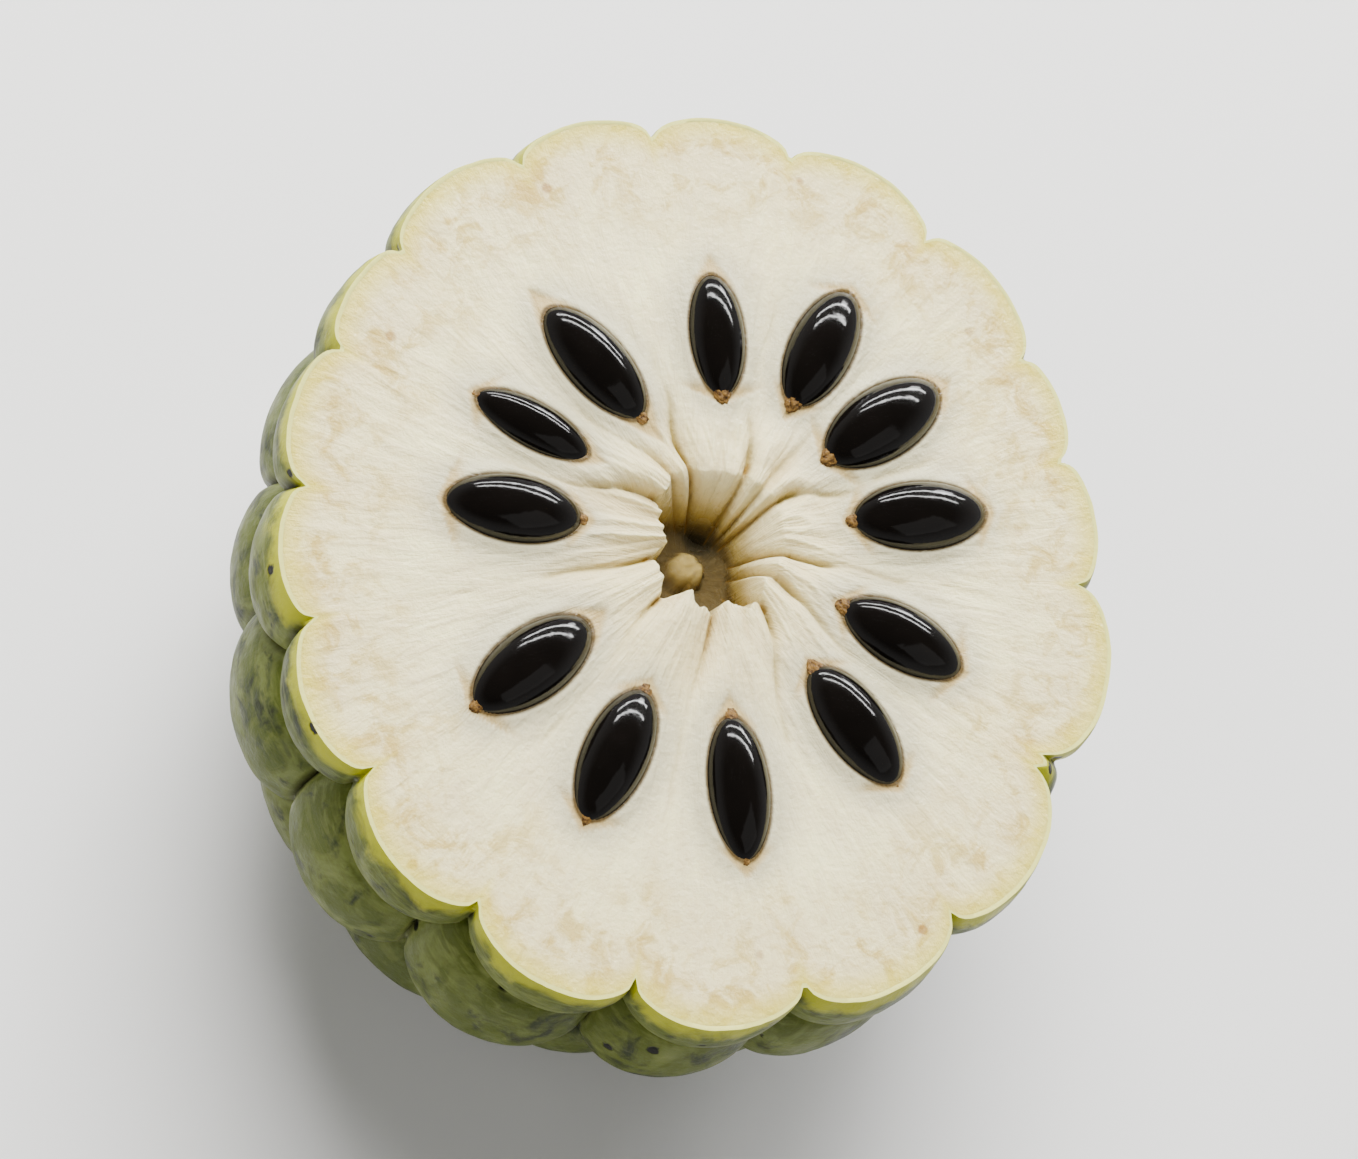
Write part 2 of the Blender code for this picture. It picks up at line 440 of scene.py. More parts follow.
def grain(points, per_metre, shift=0.0):
    """Smooth noise between -1 and 1 at each point, per_metre features to the metre."""
    scaled = points * per_metre + shift
    return np.array([noise.noise(p) for p in scaled.tolist()])


def ease(low, high, x):
    """From 0 where x is low to 1 where it is high, smoothly."""
    t = np.clip((x - low) / (high - low), 0, 1)
    return t * t * (3 - 2 * t)


def mound(x, width):
    """1 where x is 0, and falling away over width on both sides."""
    return np.exp(-((x / width) ** 2))


# ---------------------------------------------------------------- rind


def dome_point(ray):
    """Where (n, 3) unit rays from the dome's centre meet the dome without its knobs."""
    across = ray[:, 0] * math.cos(OVAL_TURN) + ray[:, 1] * math.sin(OVAL_TURN)
    along = ray[:, 1] * math.cos(OVAL_TURN) - ray[:, 0] * math.sin(OVAL_TURN)
    plan = (across / HALF_WIDTH) ** 2 + (along / HALF_LENGTH) ** 2
    rise = np.abs(ray[:, 2]) / DOME_DEPTH
    reach = (plan ** (FLATTENING / 2) + rise**FLATTENING) ** (-1 / FLATTENING)
    return ray * reach[:, None] + [0, 0, BELT]


def unit(vectors):
    return vectors / np.linalg.norm(vectors, axis=-1, keepdims=True)


def knob_centres():
    """The knobs' centres: those at the rim, then a spiral pushed evenly apart below them."""
    bearing, lift = np.array(RIM_KNOBS, float).T
    bearing, rise = np.radians(bearing), CUT - BELT + lift * MM
    ray = [np.cos(bearing) * HALF_LENGTH, np.sin(bearing) * HALF_LENGTH, rise]
    rim = dome_point(unit(np.stack(ray, axis=1)))
    count = np.arange(LOWER_KNOBS)
    rise = -1 + (count / (LOWER_KNOBS - 1)) ** 0.98 * SPIRAL_TOP
    spread = np.sqrt(1 - rise**2)
    turn = count * GOLDEN_ANGLE
    free = dome_point(np.stack([spread * np.cos(turn), spread * np.sin(turn), rise], axis=1))
    for _ in range(SETTLING_STEPS):
        others = np.concatenate([free, rim])
        gap = free[:, None, :] - others[None, :, :]
        distance = np.linalg.norm(gap, axis=2)
        np.fill_diagonal(distance, np.inf)
        push = np.clip(KNOB_SPACING / distance - SETTLED_AT, 0, 1) / distance
        move = (gap * push[:, :, None]).sum(axis=1) * KNOB_SPACING * SETTLING_PACE
        move[0] = 0  # The knob at the pole stays there.
        free = dome_point(unit(free + move - [0, 0, BELT]))
    return np.concatenate([rim, free])


def knob_points():
    """The knobs' centres as a mesh of points, each with the way down over the dome and a size."""
    centres = knob_centres()
    out = unit(centres - [0, 0, BELT])
    down = np.array([0, 0, -1.0]) + out * out[:, 2:3]
    # At the pole no way is down, so any will do.
    down[np.linalg.norm(down, axis=1) < 0.05] = [0.01, 0, 0]
    chance = np.random.default_rng(7)
    mesh = bpy.data.meshes.new("knob centres")
    mesh.from_pydata(centres.tolist(), [], [])
    keep_vectors(mesh, "down", unit(down))
    keep(mesh, "size", 1 + chance.uniform(-0.10, 0.14, len(centres)))
    holder = bpy.data.objects.new("knob centres", mesh)
    bpy.context.scene.collection.objects.link(holder)
    return holder


def knob_tree():
    """Lifts a smooth dome into knobs: tilted caps that overlap like scales, seamed all round."""
    numbers = (
        "Knob height", "Knob width", "Overhang", "Seam depth", "Wrinkle height", "Skin",
        "Cut height", "Lining", "Seed",
    )
    tree = new_tree("Knobbly rind", numbers, Knobs="Object", Count="Int", Material="Material")
    given = add(tree, "NodeGroupInput").outputs
    place = add(tree, "GeometryNodeInputPosition")
    knobs = add(tree, "GeometryNodeObjectInfo", {"Object": given["Knobs"]})
    knobs = knobs.outputs["Geometry"]

    start = given["Geometry"]
    for name in ("first", "second", "knob"):
        start = store(tree, start, name, 0.0)
    loop_in = tree.nodes.new("GeometryNodeRepeatInput")
    loop_out = tree.nodes.new("GeometryNodeRepeatOutput")
    loop_in.pair_with_output(loop_out)
    feed(tree, loop_in, {"Iterations": given["Count"], "Geometry": start})
    turn = loop_in.outputs["Iteration"]

    def of_knob(field, data_type="FLOAT_VECTOR"):
        """A field's value at this turn's knob."""
        links = {"Geometry": knobs, "Value": field, "Index": turn}
        return add(tree, "GeometryNodeSampleIndex", links, data_type=data_type)

    offset = vector(tree, "SUBTRACT", place, of_knob(place))
    fall = vector(
        tree, "DOT_PRODUCT", offset, of_knob(kept(tree, "down", "FLOAT_VECTOR"))
    ).outputs["Value"]
    bigness = of_knob(kept(tree, "size"), "FLOAT")
    width = calc(tree, "MULTIPLY", given["Knob width"], bigness)
    gap = vector(tree, "LENGTH", offset).outputs["Value"]
    reach = calc(tree, "DIVIDE", gap, width)
    reach = calc(tree, "POWER", reach, KNOB_ROUNDNESS)
    inside = calc(tree, "SUBTRACT", 1.0, reach)
    inside = calc(tree, "MAXIMUM", inside, 0.0)
    cap = calc(tree, "POWER", inside, 0.5)
    height = calc(tree, "MULTIPLY", given["Knob height"], bigness)
    cap_height = calc(tree, "MULTIPLY", cap, height)
    tilt = calc(tree, "MULTIPLY", fall, given["Overhang"])
    covered = calc(tree, "GREATER_THAN", inside, 0.001)
    tilt = calc(tree, "MULTIPLY", tilt, covered)
    lift = calc(tree, "ADD", cap_height, tilt)

    first, second, knob = (kept(tree, name) for name in ("first", "second", "knob"))
    wins = calc(tree, "GREATER_THAN", lift, first)
    lower = calc(tree, "MINIMUM", lift, first)
    new_second = calc(tree, "MAXIMUM", lower, second)
    new_first = calc(tree, "MAXIMUM", lift, first)
    new_knob = blend(tree, wins, knob, turn)
    body = loop_in.outputs["Geometry"]
    for name, value in (("knob", new_knob), ("second", new_second), ("first", new_first)):
        body = store(tree, body, name, value)
    feed(tree, loop_out, {"Geometry": body})

    seam = calc(tree, "SUBTRACT", first, second)
    near = calc(tree, "MULTIPLY", seam, -1 / SEAM_WIDTH)
    near = calc(tree, "EXPONENT", near)
    groove = calc(tree, "MULTIPLY", near, given["Seam depth"])
    lifted = calc(tree, "SUBTRACT", first, groove)
    dents = cloud_noise(tree, place, 260.0, detail=3.0, roughness=0.55, seed=given["Seed"])
    dents = calc(tree, "SUBTRACT", dents, 0.5)
    dents = calc(tree, "MULTIPLY", dents, given["Wrinkle height"])
    lifted = calc(tree, "ADD", lifted, dents)

    # Points of the lining stay on a smooth dome inside the skin, but for its cut edge.
    cut_edge = calc(tree, "SUBTRACT", lifted, given["Skin"])
    lining = calc(tree, "MULTIPLY", given["Lining"], -1.0)
    lining = blend(tree, kept(tree, "rim"), lining, cut_edge)
    lifted = blend(tree, kept(tree, "inner"), lifted, lining)
    outward = kept(tree, "outward", "FLOAT_VECTOR")
    push = vector(tree, "SCALE", outward, lifted)
    moved = vector(tree, "ADD", place, push)
    split = axes(tree, moved)
    foot = calc(tree, "MULTIPLY", kept(tree, "inner"), given["Lining"])
    height = calc(tree, "MAXIMUM", split["Z"], foot)
    height = blend(tree, kept(tree, "rim"), height, given["Cut height"])
    moved = point(tree, X=split["X"], Y=split["Y"], Z=height)
    shaped = store(tree, loop_out.outputs["Geometry"], "seam", seam)
    shaped = add(tree, "GeometryNodeSetPosition", {"Geometry": shaped, "Position": moved})
    shaped = add(tree, "GeometryNodeRealizeInstances", {"Geometry": shaped})
    shaped = add(
        tree, "GeometryNodeSetMaterial", {"Geometry": shaped, "Material": given["Material"]}
    )
    add(tree, "NodeGroupOutput", {"Geometry": shaped})
    return tree


def ray_rows(rises):
    """Unit rays, (rows, columns, 3), at these elevations, (rows, columns) in radians."""
    bearing = np.arange(COLUMNS) * 2 * math.pi / COLUMNS
    return np.stack(
        [np.cos(rises) * np.cos(bearing), np.cos(rises) * np.sin(bearing), np.sin(rises)], axis=2
    )


def dome_mesh(rises, inner, rim):
    """A dome without knobs through these rows of rays, with what the knob tree needs to know."""
    rays = ray_rows(rises)
    shape = rays.shape
    points = dome_point(rays.reshape(-1, 3))
    pole = dome_point(np.array([[0, 0, -1.0]]))[0]
    mesh = closed_rows("dome", points.reshape(shape), pole, pole)
    poles = np.array([[0, 0, -1.0], [0, 0, -1.0]])
    keep_vectors(mesh, "outward", np.concatenate([rays.reshape(-1, 3), poles]))
    keep(mesh, "inner", np.append(np.repeat(inner, shape[1]), [0, 1]))
    keep(mesh, "rim", np.append(np.repeat(rim, shape[1]), [0, 0]))
    return mesh


def rind_values(settings, knobs, material):
    return {
        "Knobs": knobs, "Count": len(knobs.data.vertices), "Knob height": settings.knob_height,
        "Knob width": settings.knob_width, "Overhang": settings.knob_drop,
        "Seam depth": settings.seam_depth, "Wrinkle height": settings.wrinkle_height,
        "Skin": settings.skin, "Cut height": CUT, "Lining": LINING, "Seed": 3.0,
        "Material": material,
    }


def knife_rises(tree, values):
    """At what elevation each column of the knobbly dome reaches the height of the cut."""
    trial = np.radians(np.linspace(*KNIFE_TRIALS))
    rises = np.repeat(trial[:, None], COLUMNS, axis=1)
    none = np.zeros(len(trial))
    made = grown("trial", dome_mesh(rises, none, none), tree, values)
    heights = coordinates(made)[: rises.size, 2].reshape(rises.shape)
    bpy.data.meshes.remove(made)
    return np.array([np.interp(CUT, heights[:, c], trial) for c in range(COLUMNS)])


class FRUIT_OT_rind(bpy.types.Operator):
    """Make the knobbly green rind, open at the cut"""

    bl_idname = "custard_apple.rind"
    bl_label = "Rind"

    def execute(self, context):
        settings = context.scene.custard_rind
        knobs = knob_points()
        tree = knob_tree()
        values = rind_values(settings, knobs, rind_skin(settings))
        top = knife_rises(tree, values)
        low = -math.pi / 2
        outer = np.linspace(0, 1, OUTER_ROWS + 1)[1:, None] ** 0.92
        lining = np.linspace(1, 0, INNER_ROWS + 1)[:-1, None]
        rises = low + (top - low)[None, :] * np.concatenate([outer, lining])
        inner = np.array([0] * OUTER_ROWS + [1] * INNER_ROWS)
        rim = np.zeros(len(inner))
        rim[OUTER_ROWS - 1 : OUTER_ROWS + 1] = 1
        mesh = grown("rind", dome_mesh(rises, inner, rim), tree, values)
        bpy.data.objects.remove(knobs)
        piece("rind", mesh, ["fruit_half"])
        return {"FINISHED"}


# ---------------------------------------------------------------- seeds


def seed_places():
    """Each CAD seed's centre, bearing of its long way, length, width and thickness."""
    places = []
    for name in SEED_NODES:
        points = coordinates(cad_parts[name].data)
        middle = (points.min(axis=0) + points.max(axis=0)) / 2
        flat = points[:, :2] - points[:, :2].mean(axis=0)
        long_way = np.linalg.svd(flat, full_matrices=False)[2][0]
        if long_way @ middle[:2] < 0:
            long_way = -long_way
        side_way = np.array([-long_way[1], long_way[0]])
        middle[:2] = points[:, :2].mean(axis=0)
        along, across = flat @ long_way, flat @ side_way
        middle[:2] += long_way * (along.max() + along.min()) / 2
        sizes = float(np.ptp(along)), float(np.ptp(across)), float(np.ptp(points[:, 2]))
        place = dict(zip(("length", "width", "thickness"), sizes))
        places.append({"middle": middle, "along": long_way, "side": side_way, **place})
    return places


def seed_tree():
    """One seed along +X: a pointed oval with a squarish section, and a corky lump at each tip."""
    numbers = (
        "Length", "Width", "Thickness", "Tip", "Squareness", "Dents", "Inner lump",
        "Outer lump", "Seed",
    )
    tree = new_tree("Seed", numbers, Coat="Material", Cork="Material")
    given = add(tree, "NodeGroupInput").outputs
    ball = add(tree, "GeometryNodeMeshUVSphere", {"Segments": 72, "Rings": 56, "Radius": 1.0})
    place = add(tree, "GeometryNodeInputPosition")
    at = axes(tree, place)
    along, side, up = at["Z"], at["X"], at["Y"]
    # The poles of the ball become the tips. Its section is made squarish, then narrowed.
    squared = calc(tree, "MULTIPLY", along, along)
    belly = calc(tree, "SUBTRACT", 1.0, squared)
    belly = calc(tree, "MAXIMUM", belly, 0.0)
    belly = calc(tree, "POWER", belly, given["Tip"])
    radius = point(tree, X=side, Y=up)
    ring = vector(tree, "NORMALIZE", radius)
    ring_at = axes(tree, ring)
    powers = []
    for socket in ("X", "Y"):
        size_of = calc(tree, "ABSOLUTE", ring_at[socket])
        powers.append(calc(tree, "POWER", size_of, given["Squareness"]))
    total = calc(tree, "ADD", powers[0], powers[1])
    total = calc(tree, "MAXIMUM", total, 0.05)
    inverse = calc(tree, "DIVIDE", -1.0, given["Squareness"])
    square = calc(tree, "POWER", total, inverse)
    girth = calc(tree, "MULTIPLY", belly, square)
    scaled = vector(tree, "SCALE", ring, girth)
    section = axes(tree, scaled)
    unit_seed = point(tree, X=along, Y=section["X"], Z=section["Y"])
    full = point(tree, X=given["Length"], Y=given["Width"], Z=given["Thickness"])
    half = vector(tree, "SCALE", full, 0.5)
    seed_place = vector(tree, "MULTIPLY", unit_seed, half)
    coat = add(tree, "GeometryNodeSetPosition", {"Geometry": ball, "Position": seed_place})
    bumps = cloud_noise(
        tree, vector(tree, "MULTIPLY", place, (1, 1, 0.4)), 2.6, detail=1.5, seed=given["Seed"]
    )
    bumps = calc(tree, "SUBTRACT", bumps, 0.5)
    bumps = calc(tree, "MULTIPLY", bumps, given["Dents"])
    bumps = calc(tree, "MULTIPLY", bumps, 4.0)
    normal = add(tree, "GeometryNodeInputNormal")
    push = vector(tree, "SCALE", normal, bumps)
    coat = add(tree, "GeometryNodeSetPosition", {"Geometry": coat, "Offset": push})
    coat = add(tree, "GeometryNodeSetMaterial", {"Geometry": coat, "Material": given["Coat"]})

    pieces = [coat]
    for end, lump_size in ((-1.0, given["Inner lump"]), (1.0, given["Outer lump"])):
        blob = add(tree, "GeometryNodeMeshIcoSphere", {"Radius": 0.5, "Subdivisions": 5})
        rough = cloud_noise(tree, place, 3.0, detail=5.0, roughness=0.7, seed=given["Seed"])
        rough = calc(tree, "ADD", rough, 0.30)
        swelled = vector(tree, "SCALE", place, rough)
        long_lump = vector(tree, "MULTIPLY", swelled, (2.0, 1.35, 0.8))
        sized = vector(tree, "SCALE", long_lump, lump_size)
        tip = calc(tree, "MULTIPLY", given["Length"], end * 0.5)
        back = calc(tree, "MULTIPLY", lump_size, -end * 0.45)
        tip = calc(tree, "ADD", tip, back)
        above = calc(tree, "MULTIPLY", lump_size, 0.32)
        where = point(tree, X=tip, Z=above)
        set_at = vector(tree, "ADD", sized, where)
        blob = add(tree, "GeometryNodeSetPosition", {"Geometry": blob, "Position": set_at})
        blob = add(tree, "GeometryNodeSetMaterial", {"Geometry": blob, "Material": given["Cork"]})
        absent = calc(tree, "LESS_THAN", lump_size, 0.05 * MM)
        blob = add(tree, "GeometryNodeDeleteGeometry", {"Geometry": blob, "Selection": absent})
        pieces.append(blob)
    joined = tree.nodes.new("GeometryNodeJoinGeometry")
    for part in reversed(pieces):
        tree.links.new(part.outputs[0], joined.inputs[0])
    whole = add(tree, "GeometryNodeRealizeInstances", {"Geometry": joined})
    add(tree, "NodeGroupOutput", {"Geometry": whole})
    return tree


class FRUIT_OT_seeds(bpy.types.Operator):
    """Make the glossy black seeds in their pockets"""

    bl_idname = "custard_apple.seeds"
    bl_label = "Seeds"

    def execute(self, context):
        settings = context.scene.custard_seeds
        tree = seed_tree()
        coat, cork = seed_coat(settings), tip_cork(settings)
        for number, (node, at) in enumerate(zip(SEED_NODES, seed_places())):
            inner_lump, outer_lump = SEED_LUMPS[number]
            values = {
                "Length": at["length"], "Width": at["width"], "Thickness": at["thickness"],
                "Tip": settings.tip, "Squareness": settings.flat_top, "Dents": settings.dents,
                "Inner lump": inner_lump * MM, "Outer lump": outer_lump * MM,
                "Seed": 1.7 * number, "Coat": coat, "Cork": cork,
            }
            mesh = grown("seed", bpy.data.meshes.new("empty"), tree, values)
            turn = math.atan2(at["along"][1], at["along"][0])
            mesh.transform(Matrix.Translation(at["middle"]) @ Matrix.Rotation(turn, 4, "Z"))
            piece(f"black_{node}", mesh, [node], sharp=70)
        return {"FINISHED"}


# ---------------------------------------------------------------- flesh


def seed_gaps(points, places):
    """How far outside the nearest seed's outline each of (n, 2) points is; inside is below 0."""
    gap = np.full(len(points), FAR_FROM_SEEDS)
    tip = bpy.context.scene.custard_seeds.tip
    along_line = np.sin(np.linspace(-1, 1, 161) * math.pi / 2)
    half_line = (1 - along_line**2).clip(0) ** tip
    for at in places:
        offset = points - at["middle"][:2]
        close = np.flatnonzero(np.linalg.norm(offset, axis=1) < at["length"] / 2 + SEED_REACH)
        x, y = offset[close] @ at["along"], np.abs(offset[close] @ at["side"])
        edge_x, edge_y = along_line * at["length"] / 2, half_line * at["width"] / 2
        far = np.hypot(x[:, None] - edge_x, y[:, None] - edge_y).min(axis=1)
        inside = y < np.interp(x, edge_x, edge_y, left=0, right=0)
        gap[close] = np.minimum(gap[close], np.where(inside, -far, far))
    return gap


def tip_skins(points, places):
    """How strongly the thin brown skin beyond the seeds' tips shows at (n, 2) points."""
    shown = np.zeros(len(points))
    for at, (inner, outer) in zip(places, SEED_SKINS):
        offset = points - at["middle"][:2]
        x, y = offset @ at["along"], offset @ at["side"]
        for reach, end in ((inner * MM, -1), (outer * MM, 1)):
            beyond = x * end - at["length"] / 2
            half = (1 - beyond / (reach + 0.2 * MM)) * at["width"] * 0.22
            edge = ease(-0.4 * MM, 0.4 * MM, half - np.abs(y))
            start = ease(-2.0 * MM, -0.6 * MM, beyond)
            shown = np.maximum(shown, edge * start * (beyond < reach + 0.2 * MM))
    return shown


def around_table(table, degrees):
    """Values at these bearings from a table of (bearing, value), joined round the circle."""
    at, value = np.array(table, float).T
    return np.interp(degrees, at, value, period=360)


def seam_places(bearings, radius):
    """Where bearings lie between seams at one radius from the hollow.

    Gives how far across from one seam to the next, -1 to 1, the angle to the nearer seam, how
    open that seam is, and the number of the carpel.
    """
    core, outer, strength = np.array(SEAMS).T
    seams = np.radians(core + (outer - core) * ease(7 * MM, 15 * MM, radius))
    seams = np.concatenate([[seams[-1] - 2 * math.pi], seams, [seams[0] + 2 * math.pi]])
    strength = np.concatenate([[strength[-1]], strength, [strength[0]]])
    number = np.searchsorted(seams, bearings) - 1
    low, high = seams[number], seams[number + 1]
    phase = 2 * (bearings - low) / (high - low) - 1
    near = np.minimum(bearings - low, high - bearings)
    strong = np.where(phase < 0, strength[number], strength[number + 1])
    return phase, near, strong, number % len(SEAMS)


class Flesh:
    """The flesh's cut surface as rings about the hollow, out to the rind's cut edge."""

    def __init__(self, settings, rim_ring, lining_rings, rim_seam):
        self.settings = settings
        self.rim_seam = rim_seam
        self.rim_ring = rim_ring
        self.lining_rings = lining_rings
        self.rim = np.linalg.norm(rim_ring[:, :2], axis=1)
        self.places = seed_places()
        self.bearings = np.arange(COLUMNS) * 2 * math.pi / COLUMNS
        self.heading = np.stack([np.cos(self.bearings), np.sin(self.bearings)], axis=1)

    def around(self, per_turn, shift=0.0, along=0.0):
        """Noise round the fruit, per_turn features round, for each column."""
        ring = np.column_stack([self.heading * per_turn / 6.3, np.full(COLUMNS, along)])
        return grain(ring, 1.0, shift)

    def floor_height(self, xy):
        """The hollow's crumbly floor: a pit at its back, and the stump of core at its front."""
        flat = np.column_stack([xy, np.zeros(len(xy))])
        crumbs = grain(flat, 1500)
        pit = np.exp(-(((xy - PIT_PLACE) ** 2).sum(axis=1) / (1.5 * MM) ** 2))
        ragged = 1 + 0.16 * grain(flat, 900, 3.0)
        stump = np.linalg.norm(xy - STUMP_PLACE, axis=1) / (STUMP_RADIUS * ragged)
        rise = (1 - stump**3).clip(0) ** 0.5 * (1.7 + 0.2 * crumbs) * MM
        return -self.settings.hollow_depth - 1.5 * MM * pit + rise + 0.16 * MM * crumbs

    def hollow_rings(self):
        """The hollow from the middle of its floor up its walls to its torn lip."""
        degrees = np.degrees(self.bearings)
        facing = np.cos(self.bearings - SHARP_SIDE)
        sharp = ease(-0.35, 0.35, facing)
        phase, near, strong, _ = seam_places(self.bearings, 6 * MM)
        arc = near * 6.2 * MM
        notch = strong * mound(arc, 0.55 * MM)
        tear = 0.7 * self.around(34) + 0.2 * self.around(90, 5.0)
        lip = (around_table(LIP, degrees) + 0.9 * notch + (0.25 + 0.45 * sharp) * tear) * MM
        floor = (around_table(FLOOR, degrees) + 0.25 * self.around(12, 8.0)) * MM
        rings = []
        for step in np.linspace(0, 1, FLOOR_ROWS + 1)[1:]:
            xy = self.heading * (floor * step)[:, None]
            rings.append(np.column_stack([xy, self.floor_height(xy)]))
        foot = rings[-1][:, 2]
        # The wall is steep under a sharp lip on the near side, and rounds over on the far side.
        panel = 1 - np.abs(phase) ** 2
        for step in np.linspace(0, 1, WALL_ROWS + 1)[1:]:
            out = sharp * step**0.5 + (1 - sharp) * step**0.95
            rise = sharp * step**1.8 + (1 - sharp) * (1 - (1 - step) ** 1.45)
            arch = math.sin(math.pi * step)
            radius = floor + (lip - floor) * out - 0.40 * MM * panel * arch
            radius += 0.30 * MM * strong * mound(arc, 0.3 * MM) * arch
            radius += 0.12 * MM * self.around(50, 3.0, step * 1.2) * arch
            rings.append(np.column_stack([self.heading * radius[:, None], foot * (1 - rise)]))
        # The seams' line on the walls, where the crease colour with its painted shade goes.
        line = strong * mound(arc, 0.20 * MM)
        return np.array(rings), lip, line

    def face_radii(self, lip):
        """Radii of the face's rings, close together where the seeds are."""
        share_out = np.linspace(0, 1, FACE_ROWS + 1)[1:]
        share_out = share_out + 0.10 * np.sin(math.pi * share_out) * share_out
        return lip[None, :] + (self.rim - lip)[None, :] * share_out[:, None]

    def relief(self, radii, xy):
        """Height of the cut surface over the plane of the cut, ring by ring, and its creases."""
        settings = self.settings
        count = len(radii)
        flat = np.column_stack([xy.reshape(-1, 2), np.zeros(count * COLUMNS)])
        # Radii from the hollow's middle are in mm here. Flesh is torn near it and cut further out.
        r = radii / MM
        torn = ease(18, 7.5, r)

        def rough(points, per_metre, shift):
            return grain(points, per_metre, shift).reshape(r.shape)

        wander = 0.030 * rough(flat, 210, 4.0) * ease(9, 20, r)
        places = [seam_places(self.bearings, row.mean()) for row in radii]
        phase, near, strong, carpel = (np.array(part) for part in zip(*places))
        turned = np.sign(phase) * wander
        seam = np.abs(near + np.where(near < 0.12, turned, 0)) * radii
        chance = np.random.default_rng(11)
        per_petal = chance.uniform(0.45, 1.25, len(SEAMS))[carpel]
        petal = per_petal * (1 - strong * np.abs(phase).clip(0, 1) ** 2.6)
        # Streaks run outwards from the hollow: noise round the fruit, drawn long along the radius.
        heading = np.repeat(self.heading[None] * STREAKS_ROUND, count, axis=0)
        outward = r[:, :, None] / STREAK_LENGTH
        streak_at = np.concatenate([heading, outward], axis=2).reshape(-1, 3)
        bend = grain(streak_at * [0.6, 0.6, 1.0], 1.0, 21.0)
        ridges = 1 - 2.2 * np.abs(rough(streak_at + bend[:, None] * 0.5, 1.0, 9.0))
        fibres = rough(streak_at * [5.2, 5.2, 1.3], 1.0, 2.0)
        fine = rough(streak_at * [12.0, 12.0, 2.4], 1.0, 7.0)
        broken = ease(-0.30, 0.25, rough(streak_at * [0.8, 0.8, 2.4], 1.0, 6.0))
        depth = settings.seam_depth * strong * (ease(15, 7, r) + 0.38 * ease(33, 14, r) * broken)
        groove = mound(seam, 0.24 * MM)
        shoulder = mound(seam, 1.0 * MM)
        height = torn * (settings.fold_height * (petal - 0.40) + 0.36 * MM * ridges)
        height -= depth * (0.6 * groove + 0.4 * shoulder)
        height += settings.fibre_height * (fibres + 0.7 * fine) * (1 + 0.8 * ease(26, 12, r))
        height += 0.14 * MM * rough(flat, 90, 1.0)
        height += 0.10 * MM * torn * rough(flat, 620, 12.0)
        crease = groove * strong * (ease(17, 8, r) + 0.75 * ease(33, 16, r) * broken)
        # Valleys between the fold crests, where painted shade darkens the flesh.
        valleys = np.clip((0.55 - ridges) * torn, 0, 1) + 0.5 * shoulder * strong * torn
        return height, crease, valleys.clip(0, 1)

    def notches(self, to_rim):
        """How near each point of the face is to a notch in the rim."""
        near = np.exp(-self.rim_seam / (0.5 * MM))
        spread = mound(np.arange(-14, 15), 6)
        near = np.convolve(np.tile(near, 3), spread / spread.sum(), "same")[COLUMNS : 2 * COLUMNS]
        near = near / near.max()
        return near[None, :] * np.exp(-to_rim / (2.2 * MM))

    def build(self):
        """All the rings from the hollow's floor to the lining's foot, and values to paint by."""
        hollow, lip, wall_line = self.hollow_rings()
        radii = self.face_radii(lip)
        xy = self.heading[None] * radii[:, :, None]
        height, crease, fold_shade = self.relief(radii, xy)
        to_rim = (self.rim[None, :] - radii).clip(0)
        height *= ease(0.0, 1.4 * MM, to_rim)
        face = np.concatenate([xy, height[:, :, None]], axis=2)
        # The top of the hollow's wall takes up the height of its lip.
        joining = np.linspace(0, 1, WALL_ROWS + 1)[1:] ** 5
        hollow[FLOOR_ROWS:, :, 2] += joining[:, None] * height[0][None, :]
        rings = np.concatenate([hollow, face])
        # Slide the middle across to where the hollow is.
        radius = np.linalg.norm(rings[:, :, :2], axis=2)
        slide = 1 - ease(4 * MM, HOLLOW_REACH, radius)
        rings[:, :, :2] += HOLLOW_CENTRE * slide[:, :, None]

        flat = rings[:, :, :2].reshape(-1, 2)
        gap = seed_gaps(flat, self.places)
        skins = tip_skins(flat, self.places)
        # The flesh swells up to each seed, dips where they touch, and falls away beneath it.
        swell = 0.34 * MM * mound(gap - 0.15 * MM, 0.75 * MM)
        dip = 0.10 * MM * mound(gap, 0.20 * MM)
        fall = self.settings.pocket_depth * ease(-0.4 * MM, -1.2 * MM, gap)
        fall += dip + 0.25 * MM * skins * ease(-0.2 * MM, 0.3 * MM, gap)
        level = rings[:, :, 2].reshape(-1)
        calm = 1 - 0.8 * ease(1.6 * MM, 0.2 * MM, gap)
        on_face = np.arange(len(level)) >= (FLOOR_ROWS + WALL_ROWS) * COLUMNS
        level = np.where(on_face, level * calm + swell - fall, level)
        rings[:, :, 2] = level.reshape(rings.shape[:2]) + CUT
        rings[-1] = self.rim_ring

        # The flesh's underside lies a hair inside the rind's.
        inside = self.lining_rings.copy()
        inside[:, :, :2] *= 0.9995
        rows = np.concatenate([rings, inside])
        extra = len(inside) * COLUMNS
        lead = (FLOOR_ROWS + WALL_ROWS) * COLUMNS
        none = np.zeros(lead)
        walls = np.zeros((FLOOR_ROWS + WALL_ROWS, COLUMNS))
        walls[FLOOR_ROWS:] = wall_line

        def joined(core, face, lining=0.0):
            return np.concatenate([core.ravel(), face.ravel(), np.full(extra, lining)])

